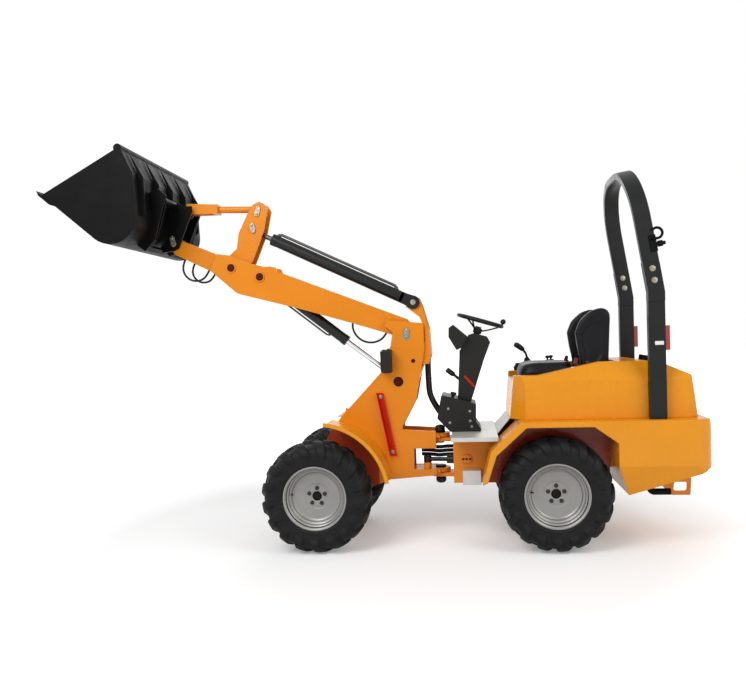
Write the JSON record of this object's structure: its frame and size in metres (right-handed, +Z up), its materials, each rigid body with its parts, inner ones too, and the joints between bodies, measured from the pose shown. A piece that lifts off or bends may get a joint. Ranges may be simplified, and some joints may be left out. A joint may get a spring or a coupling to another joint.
{
  "type": "compact articulated wheel loader",
  "caption": "Compact articulated wheel loader with a single boom, bell crank tilt linkage, quick hitch and bucket, open operator platform with roll bar.",
  "frame": {"origin": "on the ground under the middle of the machine's bounding box", "axes": "+X forward to the bucket, +Y to the machine's left, +Z up"},
  "size_m": [4.46, 1.208, 2.805],
  "materials": {
    "paint": "gloss",
    "black_steel": "satin",
    "zinc": "satin",
    "rod_chrome": "polished",
    "red_paint": "gloss",
    "grey_steel": "satin",
    "iron": "rough",
    "black_plastic": "matte",
    "seat_skin": "satin",
    "red_plastic": "gloss",
    "rim_silver": "satin",
    "tyre": "matte"
  },
  "bodies": {
    "rear": {"rear_frame": "paint", "rear_axle": "paint", "pivot_pins": "black_steel", "floor_tray": "zinc", "side_box": "zinc", "rear_body": "paint", "hood": "paint", "engine": "iron", "exhaust": "black_steel", "tow_loop": "paint", "filler_cap": "black_steel", "pedestal": "black_plastic", "steering_column": "black_plastic", "dash_shield": "black_plastic", "seat_base": "black_plastic", "seat_cushion": "seat_skin", "seat_back": "seat_skin", "control_panel": "black_plastic", "joystick": "black_plastic", "roll_bar_posts": "grey_steel", "roll_bar_hoop": "grey_steel", "tail_lamps": "red_plastic"},
    "front": {"front_frame": "paint", "front_axle": "paint", "front_fenders": "paint", "boom_prop": "red_paint", "front_lamps": "black_plastic"},
    "boom": {"boom": "paint", "boom_pins": "zinc", "boom_end_pin": "zinc", "crank_pin": "zinc"},
    "bucket": {"hitch": "black_steel", "bucket": "black_steel", "cutting_edge": "black_steel"},
    "crank": {"bell_crank": "paint", "rod_pins": "zinc", "link_pin": "zinc"},
    "link": {"tilt_link": "paint", "link_end_pins": "zinc"},
    "tilt_pin": {"tilt_pin": "zinc"},
    "tilt_barrel": {"tilt_barrel": "black_steel"},
    "tilt_sleeve": {"tilt_sleeve": "rod_chrome"},
    "tilt_rod": {"tilt_rod": "rod_chrome"},
    "lift_barrel": {"lift_barrel": "black_steel"},
    "lift_rod": {"lift_rod": "rod_chrome"},
    "steering_barrel": {"steering_barrel": "black_steel"},
    "steering_rod": {"steering_rod": "rod_chrome"},
    "steering_wheel": {"steering_wheel": "black_plastic"},
    "front_left_wheel": {"front_left_rim": "rim_silver", "front_left_tyre": "tyre"},
    "front_right_wheel": {"front_right_rim": "rim_silver", "front_right_tyre": "tyre"},
    "rear_left_wheel": {"rear_left_rim": "rim_silver", "rear_left_tyre": "tyre"},
    "rear_right_wheel": {"rear_right_rim": "rim_silver", "rear_right_tyre": "tyre"}
  },
  "joints": [
    {"name": "articulation", "type": "hinge", "parent": "rear", "child": "front", "pos_m": [-0.43998, 0, 0.6], "axis": [0, 0, 1], "range_deg": [-40, 40]},
    {"name": "boom_lift", "type": "hinge", "parent": "front", "child": "boom", "pos_m": [-0.21898, 0, 1.455], "axis": [0, -1, 0], "range_deg": [-65, 20]},
    {"name": "bucket_tilt", "type": "hinge", "parent": "boom", "child": "bucket", "pos_m": [1.48913, 0, 2.18357], "axis": [0, 1, 0], "range_deg": [-26, 88]},
    {"name": "crank_turn", "type": "hinge", "parent": "boom", "child": "crank", "pos_m": [1.05903, 0, 1.99142], "axis": [0, 1, 0], "range_deg": [-15.31, 50.62]},
    {"name": "link_turn", "type": "hinge", "parent": "crank", "child": "link", "pos_m": [0.84803, 0, 2.42342], "axis": [0, 1, 0], "range_deg": [-37.1, 11.31]},
    {"name": "tilt_cylinder_level", "type": "hinge", "parent": "front", "child": "tilt_pin", "pos_m": [-0.27598, 0, 1.696], "axis": [0, 1, 0], "range_deg": [-19.97, 63.78]},
    {"name": "tilt_cylinder_turn", "type": "hinge", "parent": "tilt_pin", "child": "tilt_barrel", "pos_m": [-0.27598, 0, 1.696], "axis": [0, 1, 0], "range_deg": [-1.04, 2.33]},
    {"name": "tilt_sleeve_slide", "type": "slide", "parent": "tilt_barrel", "child": "tilt_sleeve", "axis": [0.9001, 0, 0.4357], "range_m": [-0.0819, 0.2573]},
    {"name": "tilt_rod_slide", "type": "slide", "parent": "tilt_sleeve", "child": "tilt_rod", "axis": [0.9001, 0, 0.4357], "range_m": [-0.0826, 0.27]},
    {"name": "lift_cylinder_turn", "type": "hinge", "parent": "boom", "child": "lift_barrel", "pos_m": [0.84579, 0, 1.91786], "axis": [0, -1, 0], "range_deg": [-0.97, 2.03]},
    {"name": "lift_rod_slide", "type": "slide", "parent": "lift_barrel", "child": "lift_rod", "axis": [-0.785, 0, -0.6195], "range_m": [-0.3654, 0.1152]},
    {"name": "steering_cylinder_turn", "type": "hinge", "parent": "rear", "child": "steering_barrel", "pos_m": [-0.78798, 0.13, 0.56], "axis": [0, 0, 1], "range_deg": [-7.79, 7.79]},
    {"name": "steering_rod_slide", "type": "slide", "parent": "steering_barrel", "child": "steering_rod", "axis": [0.9908, -0.1351, 0], "range_m": [-0.0595, 0.0595]},
    {"name": "steering_wheel_turn", "type": "hinge", "parent": "rear", "child": "steering_wheel", "pos_m": [-0.75398, 0, 1.55], "axis": [-0.2924, 0, 0.9563], "continuous": true},
    {"name": "front_left_wheel_spin", "type": "hinge", "parent": "front", "child": "front_left_wheel", "pos_m": [0.39502, 0.418, 0.38], "axis": [0, 1, 0], "continuous": true},
    {"name": "front_right_wheel_spin", "type": "hinge", "parent": "front", "child": "front_right_wheel", "pos_m": [0.39502, -0.418, 0.38], "axis": [0, 1, 0], "continuous": true},
    {"name": "rear_left_wheel_spin", "type": "hinge", "parent": "rear", "child": "rear_left_wheel", "pos_m": [-1.21798, 0.418, 0.38], "axis": [0, 1, 0], "continuous": true},
    {"name": "rear_right_wheel_spin", "type": "hinge", "parent": "rear", "child": "rear_right_wheel", "pos_m": [-1.21798, -0.418, 0.38], "axis": [0, 1, 0], "continuous": true}
  ],
  "couplings": [
    {"joint": "crank_turn", "follows": "bucket_tilt", "ratio": 0.56955},
    {"joint": "link_turn", "follows": "bucket_tilt", "ratio": -0.41593},
    {"joint": "tilt_cylinder_level", "follows": "boom_lift", "ratio": -0.97348},
    {"joint": "tilt_cylinder_turn", "follows": "bucket_tilt", "ratio": 0.02078},
    {"joint": "tilt_sleeve_slide", "follows": "boom_lift", "m_per_rad": -0.22326},
    {"joint": "tilt_rod_slide", "follows": "bucket_tilt", "m_per_rad": 0.17318},
    {"joint": "lift_cylinder_turn", "follows": "boom_lift", "ratio": -0.02357},
    {"joint": "lift_rod_slide", "follows": "boom_lift", "m_per_rad": 0.31858},
    {"joint": "steering_cylinder_turn", "follows": "articulation", "ratio": 0.18226},
    {"joint": "steering_rod_slide", "follows": "articulation", "m_per_rad": -0.07946}
  ]
}
